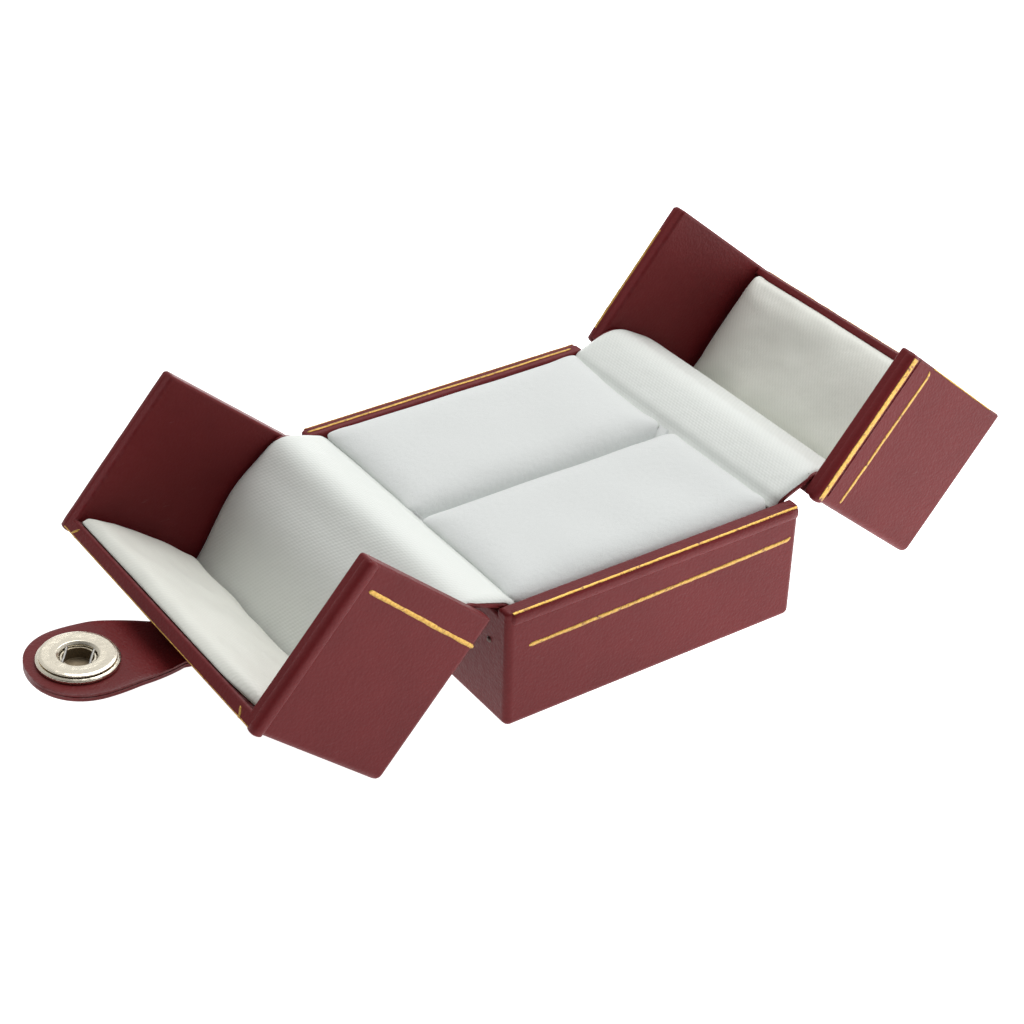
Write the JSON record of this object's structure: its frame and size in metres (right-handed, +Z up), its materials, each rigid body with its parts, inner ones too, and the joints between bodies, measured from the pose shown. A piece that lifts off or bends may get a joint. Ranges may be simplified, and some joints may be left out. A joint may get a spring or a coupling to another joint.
{
  "type": "double door ring box",
  "caption": "Small covered box with two outward-opening hinged doors, a padded ring slot in its base and a snap tab that holds the doors shut.",
  "frame": {"origin": "centre of the base's underside, where the box rests", "axes": "+Z up; +X from the left door's hinge to the right door's hinge; the front faces -Y"},
  "size_m": [0.1336, 0.0516, 0.0356],
  "materials": {
    "burgundy_leatherette": "fine-grained matt leatherette, gold foil lines",
    "white_leatherette": "smooth padded white leatherette",
    "white_satin": "ribbed white satin",
    "white_velvet": "short white flocked fabric over foam",
    "box_board": "moulded shell, covered",
    "card": "stiff card",
    "bottom_paper": "dark flocked paper",
    "hinge_steel": "plated steel",
    "snap_brass": "pale plated brass",
    "spring_steel": "spring wire"
  },
  "bodies": {
    "base": {"base_shell": "box_board", "base_cover": "burgundy_leatherette", "base_bottom_panel": "bottom_paper", "insert_board": "card", "ring_pad_front": "white_velvet", "ring_pad_back": "white_velvet", "left_hinge_base_leaf": "hinge_steel", "right_hinge_base_leaf": "hinge_steel", "left_hinge_pin": "hinge_steel", "right_hinge_pin": "hinge_steel", "left_base_rivets": "hinge_steel", "right_base_rivets": "hinge_steel", "left_base_lining": "white_satin", "right_base_lining": "white_satin"},
    "left_door": {"left_door_shell": "box_board", "left_door_cover": "burgundy_leatherette", "left_door_side_lining": "white_satin", "left_door_top_pad": "white_leatherette", "left_door_pad_card": "card", "left_hinge_door_leaf": "hinge_steel", "left_door_rivets": "hinge_steel", "snap_tab_anchor": "burgundy_leatherette"},
    "right_door": {"right_door_shell": "box_board", "right_door_cover": "burgundy_leatherette", "right_door_side_lining": "white_satin", "right_door_top_pad": "white_leatherette", "right_door_pad_card": "card", "right_hinge_door_leaf": "hinge_steel", "right_door_rivets": "hinge_steel", "snap_stud": "snap_brass", "snap_stud_post": "snap_brass"},
    "snap_tab": {"snap_tab_strap": "burgundy_leatherette", "snap_tab_lining": "burgundy_leatherette", "snap_socket": "snap_brass", "snap_socket_wires": "spring_steel", "snap_cap": "snap_brass"}
  },
  "joints": [
    {"name": "left_door_hinge", "type": "hinge", "parent": "base", "child": "left_door", "pos_m": [-0.0241, 0, 0.01755], "axis": [0, 1, 0], "range_deg": [0, 138.3]},
    {"name": "right_door_hinge", "type": "hinge", "parent": "base", "child": "right_door", "pos_m": [0.0241, 0, 0.01755], "axis": [0, -1, 0], "range_deg": [-8, 130.1]},
    {"name": "snap_tab_flex", "type": "hinge", "parent": "left_door", "child": "snap_tab", "pos_m": [-0.05871, 0, 0.0147], "axis": [0, 1, 0], "range_deg": [-25, 36]}
  ]
}
